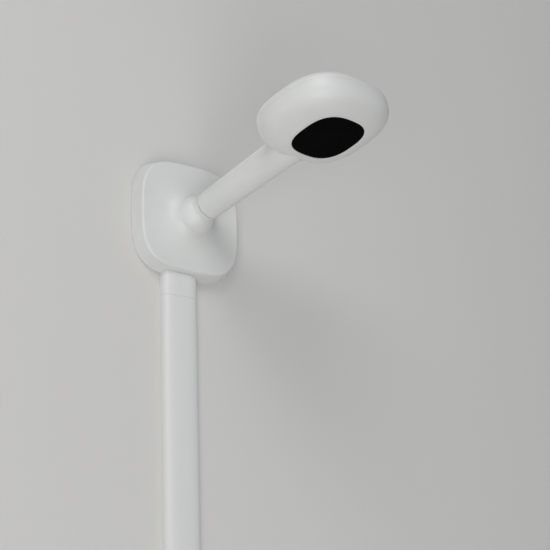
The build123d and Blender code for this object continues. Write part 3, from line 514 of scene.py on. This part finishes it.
def make_arm():
    """Tube that widens towards the head."""
    inner_near, inner_far = ARM_NEAR - ARM_WALL, ARM_FAR - ARM_WALL
    profile = [(inner_near, SEAM, 0), (ARM_NEAR, SEAM, 0.4)]
    for step in range(1, 12):
        share = step / 12
        profile.append((ARM_NEAR + (ARM_FAR - ARM_NEAR) * share, SEAM + (ARM_END - SEAM) * share, 0))
    profile += [(ARM_FAR, ARM_END, 0.4), (inner_far, ARM_END, 0), (inner_near, SEAM + SOCKET, 0)]
    tube = lathe("arm", profile, along)
    crisp(tube)
    dress(tube, "shell_white", "camera_unit", "arm_tube")


make_ball()
make_arm()


# ================================================================ head
def top_station(angle, inset):
    """A station of the upper half of the head, at an angle from its widest plane."""
    shrink = cos(angle) ** (2 / HEAD_TOP_POWER)
    height = (HEAD_TOP - inset) * sin(angle) ** (2 / HEAD_TOP_POWER)
    return ((HEAD_X - inset) * shrink, (HEAD_Y - inset) * shrink, height)


def make_top_shell():
    """Upper half of the head, open in the middle for the light ring."""
    hole = GUIDE_OUTER + 0.1
    stations = [(HEAD_X - HEAD_WALL, HEAD_Y - HEAD_WALL, 0, HEAD_POWER, 0.1),
                (HEAD_X, HEAD_Y, 0, HEAD_POWER, 0.1)]
    flat_angle = radians(TOP_ANGLE)
    for step in range(1, 34):
        half_x, half_y, height = top_station(flat_angle * step / 33, 0)
        stations.append((half_x, half_y, height, HEAD_POWER, 0))
    half_x, half_y, height = top_station(flat_angle, 0)
    for step in range(1, 5):
        share = step / 5
        stations.append((
            half_x + (hole - half_x) * share,
            half_y + (hole - half_y) * share,
            height + 0.02 * share,
            HEAD_POWER + (2 - HEAD_POWER) * share,
            0,
        ))
    stations.append((hole, hole, height + 0.02, 2, 0.25))
    inner_top = top_station(flat_angle, HEAD_WALL)
    stations.append((hole, hole, inner_top[2], 2, 0.2))
    for step in range(20, 0, -1):
        half_x, half_y, height = top_station(flat_angle * step / 20, HEAD_WALL)
        stations.append((half_x, half_y, height, HEAD_POWER, 0))
    return shell("head_top", stations, head, count=HEAD_RING)


def low_station(depth, inset):
    """A station of the lower half of the head at a depth below its widest plane."""
    shrink = (1 - (depth / (HEAD_LOW - inset * 0.4)) ** HEAD_LOW_POWER) ** (1 / HEAD_LOW_POWER)
    share = depth / (HEAD_FLAT - PARTING)
    half_x = (HEAD_X - inset) * shrink
    return half_x, half_x * (HEAD_Y / HEAD_X + (1 - HEAD_Y / HEAD_X) * share ** 2 * 0.6), -PARTING - depth


def make_bottom_shell():
    """Lower half of the head, with the ledge that carries the window."""
    full = HEAD_FLAT - PARTING
    hole = WINDOW_HALF
    stations = [(HEAD_X - HEAD_WALL, HEAD_Y - HEAD_WALL, -PARTING, HEAD_POWER, 0.1),
                (HEAD_X, HEAD_Y, -PARTING, HEAD_POWER, 0.1)]
    for step in range(1, 44):
        half_x, half_y, height = low_station(full * sin(pi / 2 * step / 44), 0)
        stations.append((half_x, half_y, height, HEAD_POWER, 0))
    half_x, half_y, height = low_station(full, 0)
    stations.append((half_x, half_y, height, HEAD_POWER, 0.9))
    stations.append((hole, hole, -HEAD_FLAT, WINDOW_POWER, 0.25))
    stations.append((hole, hole, -LIP, WINDOW_POWER, 0))
    stations.append((LIP_OPENING, LIP_OPENING, -LIP, WINDOW_POWER, 0))
    stations.append((LIP_OPENING, LIP_OPENING, -LIP + HEAD_WALL, WINDOW_POWER, 0))
    floor_depth = LIP - HEAD_WALL - PARTING
    for step in range(22, 0, -1):
        half_x, half_y, height = low_station(floor_depth * sin(pi / 2 * step / 22), HEAD_WALL)
        stations.append((half_x, half_y, height, HEAD_POWER, 0))
    return shell("head_bottom", stations, head, count=HEAD_RING)


WAY_START, WAY_END = 100, 130   # the arm's way into the head, from the ball's centre
DRILLED = (4, 16)               # heights between which the holes in the top are drilled
RESET_AT, RESET_HOLE = (12.8, 9.2), 1.6
MIC_AT, MIC_HOLE = (-12.8, -9.2), 0.6
SPEAKER_AT, SPEAKER_HOLE = (-32, 6), 0.8
SPEAKER_RINGS = ((0, 1), (3.6, 6), (6.6, 12))   # radius and number of holes


def make_head():
    """Both shells, with the way in for the arm and the small holes in the top."""
    top, bottom = make_top_shell(), make_bottom_shell()
    for half in (top, bottom):
        cut(half, rod(ARM_FAR + 0.12, WAY_START, WAY_END, along, count=TURNED_RING))
    cut(top, rod(RESET_HOLE, *DRILLED, head, *RESET_AT), rod(MIC_HOLE, *DRILLED, head, *MIC_AT))
    for reach, number in SPEAKER_RINGS:
        for step in range(number):
            angle = 2 * pi * step / number
            x, y = SPEAKER_AT[0] + reach * cos(angle), SPEAKER_AT[1] + reach * sin(angle)
            cut(top, rod(SPEAKER_HOLE, *DRILLED, head, x, y, 24))
    crisp(top, 28)
    crisp(bottom, 28)
    dress(top, "shell_white", "camera_unit", "head_top_shell")
    dress(bottom, "shell_white", "camera_unit", "head_bottom_shell")


make_head()


def make_window():
    """Glossy pane with a softened edge and a very slight bulge."""
    half = WINDOW_HALF - 0.25
    face = -HEAD_FLAT + WINDOW_RECESS
    stations = [(half - 0.3, half - 0.3, -GASKET_LOW, WINDOW_POWER, 0),
                (half, half, -GASKET_LOW - 0.3, WINDOW_POWER, 0),
                (half, half, face, WINDOW_POWER, 0.35)]
    for share in (0.9, 0.7, 0.45, 0.2):
        bulge = 0.05 * (1 - share ** 2)
        stations.append((half * share, half * share, face - bulge, WINDOW_POWER, 0))
    window = shell("window_pane", stations, head, loop=False, count=HEAD_RING)
    crisp(window)
    dress(window, "window_black", "camera_unit", "window")


make_window()


def make_light_ring():
    """Light guide round the button, with a flange under the shell."""
    profile = [
        (GUIDE_OUTER, GUIDE_BASE, 0), (GUIDE_OUTER, RIM_LOW, 0), (RIM_OUTER, RIM_LOW, 0.2),
        (RIM_OUTER, RIM_TOP, 0.2), (GUIDE_OUTER, RIM_TOP, 0), (GUIDE_OUTER, GUIDE_TOP, 0.3),
        (GUIDE_INNER, GUIDE_TOP, 0.3), (GUIDE_INNER, RIM_TOP, 0), (GUIDE_BORE, RIM_TOP, 0),
        (GUIDE_BORE, GUIDE_BASE, 0),
    ]
    piece = lathe("light_ring_guide", profile, head)
    crisp(piece)
    dress(piece, "diffuser", "camera_unit", "light_ring")


def make_light_button():
    """Round button with a shallow dish in its top."""
    profile = [
        (STEM, STEM_LOW, 0), (STEM, FLANGE_LOW, 0), (BUTTON_FLANGE, FLANGE_LOW, FLANGE_EDGE),
        (BUTTON_FLANGE, FLANGE_TOP, FLANGE_EDGE), (BUTTON_RADIUS, FLANGE_TOP, 0),
        (BUTTON_RADIUS, BUTTON_TOP, BUTTON_EDGE),
    ]
    profile += [(radius, height, 0) for radius, height in DISH]
    piece = lathe("light_button_cap", profile, head, loop=False)
    crisp(piece)
    dress(piece, "shell_white", "light_button", "light_button")


make_light_ring()
make_light_button()


# ================================================================ cable cover
def d_section(width, depth):
    """Points of the cover's section from one back edge over the front to the other."""
    points = []
    steps = 64
    for step in range(steps + 1):
        angle = pi * step / steps
        across, upward = cos(angle), sin(angle)
        reach = (abs(across) ** COVER_POWER + abs(upward) ** COVER_POWER) ** (-1 / COVER_POWER)
        from_wall = COVER_BACK + (depth - COVER_BACK) * reach * upward
        points.append((COVER_X + width / 2 * reach * across, from_wall))
    return points


def cover_loop(grow=0.0):
    """The closed section of the thin cover, outside and inside."""
    outside = d_section(COVER_WIDTH + 2 * grow, COVER_DEPTH + grow)
    inside = d_section(COVER_WIDTH - 2 * COVER_WALL, COVER_DEPTH - COVER_WALL)
    return outside + inside[::-1]


def make_cover(name, top, bottom, edge=0.12):
    """A length of cover with softly broken end edges."""
    rings = []
    for height, shrink in ((top, edge), (top - edge * 0.3, edge * 0.3), (top - edge, 0), (bottom + edge, 0),
                           (bottom + edge * 0.3, edge * 0.3), (bottom, edge)):
        rings.append([Vector((x, -y, height)) for x, y in cover_loop(-shrink)])
    count = len(rings[0])
    vertices = [point for one in rings for point in one]
    faces = []
    for row in range(len(rings) - 1):
        for step in range(count):
            after = (step + 1) % count
            faces.append((row * count + step, row * count + after, (row + 1) * count + after,
                          (row + 1) * count + step))
    for base in (0, (len(rings) - 1) * count):
        for step in range(count // 2 - 1):
            faces.append((base + step, base + step + 1, base + count - 2 - step, base + count - 1 - step))
    return make_object(name, vertices, faces, level)


def make_covers():
    """The long cable cover, and the short one that is cut to the wall cover."""
    front = make_cover("cover_long", STUB_END - SEAM_GAP, cover_low)
    crisp(front)
    dress(front, "cover_white", "wall_mount", "cover_front")
    stub = make_cover("cover_short", STUB_TOP, STUB_END)
    plate_shape = plate_profile(-STUB_CLEARANCE, mouth_depth, 14.0, -2.0)
    cut(stub, shell("cutter", plate_shape, wall, loop=False))
    crisp(stub)
    dress(stub, "cover_white", "wall_mount", "cover_stub")


make_covers()

# ================================================================ stage, light and camera
PALE_DARK, PALE_LIGHT = (0.69, 0.68, 0.655), (0.71, 0.70, 0.675)


def stage_plane(name, corners):
    """A pale sheet that can only be seen from its front, so that it never hides the object from behind."""
    mesh = bpy.data.meshes.new(name)
    mesh.from_pydata(corners, [], [(0, 1, 2, 3)])
    piece = bpy.data.objects.new(name, mesh)
    bpy.context.scene.collection.objects.link(piece)
    material, nodes, links = node_material(name)
    shader = nodes["Principled BSDF"]
    shader.inputs["Roughness"].default_value = 0.85
    shader.inputs["Specular IOR Level"].default_value = 0.2
    noise = add_node(nodes, "ShaderNodeTexNoise", Scale=9.0, Detail=5.0)
    tint = nodes.new("ShaderNodeValToRGB")
    tint.color_ramp.elements[0].color = (*PALE_DARK, 1)
    tint.color_ramp.elements[1].color = (*PALE_LIGHT, 1)
    links.new(noise.outputs["Fac"], tint.inputs["Fac"])
    links.new(tint.outputs["Color"], shader.inputs["Base Color"])
    clear = nodes.new("ShaderNodeBsdfTransparent")
    facing = nodes.new("ShaderNodeNewGeometry")
    path = nodes.new("ShaderNodeLightPath")
    either = nodes.new("ShaderNodeMath")
    either.operation = "MAXIMUM"
    links.new(facing.outputs["Backfacing"], either.inputs[0])
    links.new(path.outputs["Is Shadow Ray"], either.inputs[1])
    mix = nodes.new("ShaderNodeMixShader")
    links.new(either.outputs["Value"], mix.inputs["Fac"])
    links.new(shader.outputs["BSDF"], mix.inputs[1])
    links.new(clear.outputs["BSDF"], mix.inputs[2])
    links.new(mix.outputs["Shader"], nodes["Material Output"].inputs["Surface"])
    piece.data.materials.append(material)


SPAN = 4.0
WALL_Y = 0.0002          # just behind the object's back faces
FLOOR_Z = -1.35
stage_plane("backdrop", [
    (-SPAN, WALL_Y, FLOOR_Z),
    (SPAN, WALL_Y, FLOOR_Z),
    (SPAN, WALL_Y, SPAN),
    (-SPAN, WALL_Y, SPAN),
])
stage_plane("floor", [
    (-SPAN, -SPAN, FLOOR_Z),
    (SPAN, -SPAN, FLOOR_Z),
    (SPAN, SPAN, FLOOR_Z),
    (-SPAN, SPAN, FLOOR_Z),
])


def area_light(name, place, target, size, power):
    """A square soft light, aimed at the target."""
    light = bpy.data.lights.new(name, "AREA")
    light.shape = "RECTANGLE"
    light.size, light.size_y = size, size
    light.energy = power
    lamp = bpy.data.objects.new(name, light)
    lamp.location = place
    lamp.rotation_mode = "QUATERNION"
    lamp.rotation_quaternion = (Vector(target) - Vector(place)).to_track_quat("-Z", "Y")
    bpy.context.scene.collection.objects.link(lamp)


OBJECT_MIDDLE = (0.02, -0.08, -0.03)
area_light("key", (-0.8, -1.3, 1.0), OBJECT_MIDDLE, 0.9, 10)
area_light("fill", (-0.9, -1.5, -1.15), OBJECT_MIDDLE, 1.5, 16)
area_light("back_fill", (0.4, 2.2, 1.0), OBJECT_MIDDLE, 2.0, 20)

world = bpy.data.worlds.new("studio")
world.use_nodes = True
sky = world.node_tree.nodes["Background"]
sky.inputs["Color"].default_value = (0.93, 0.96, 1.0, 1)
sky.inputs["Strength"].default_value = 0.32
scene = bpy.context.scene
scene.world = world
scene.view_settings.view_transform = "Standard"

# The camera looks up at the object from the lower left.
HEADING = 0.6337
LOOK_UP = 0.3619
ROLL = -0.0287
DISTANCE = 2.0
FOCAL_LENGTH = 151.96
AIM = Vector((0.073, -0.034, -0.044))
forward = Vector((sin(HEADING) * cos(LOOK_UP), cos(HEADING) * cos(LOOK_UP), sin(LOOK_UP)))
right = Vector((cos(HEADING), -sin(HEADING), 0))
upward = right.cross(forward)
right, upward = cos(ROLL) * right + sin(ROLL) * upward, cos(ROLL) * upward - sin(ROLL) * right
lens = bpy.data.cameras.new("camera")
lens.sensor_width = 36
lens.lens = FOCAL_LENGTH
lens.clip_start, lens.clip_end = 0.05, 50
camera = bpy.data.objects.new("camera", lens)
turn = Matrix((right, upward, -forward)).transposed().to_4x4()
camera.matrix_world = Matrix.Translation(AIM - forward * DISTANCE) @ turn
scene.collection.objects.link(camera)
scene.camera = camera
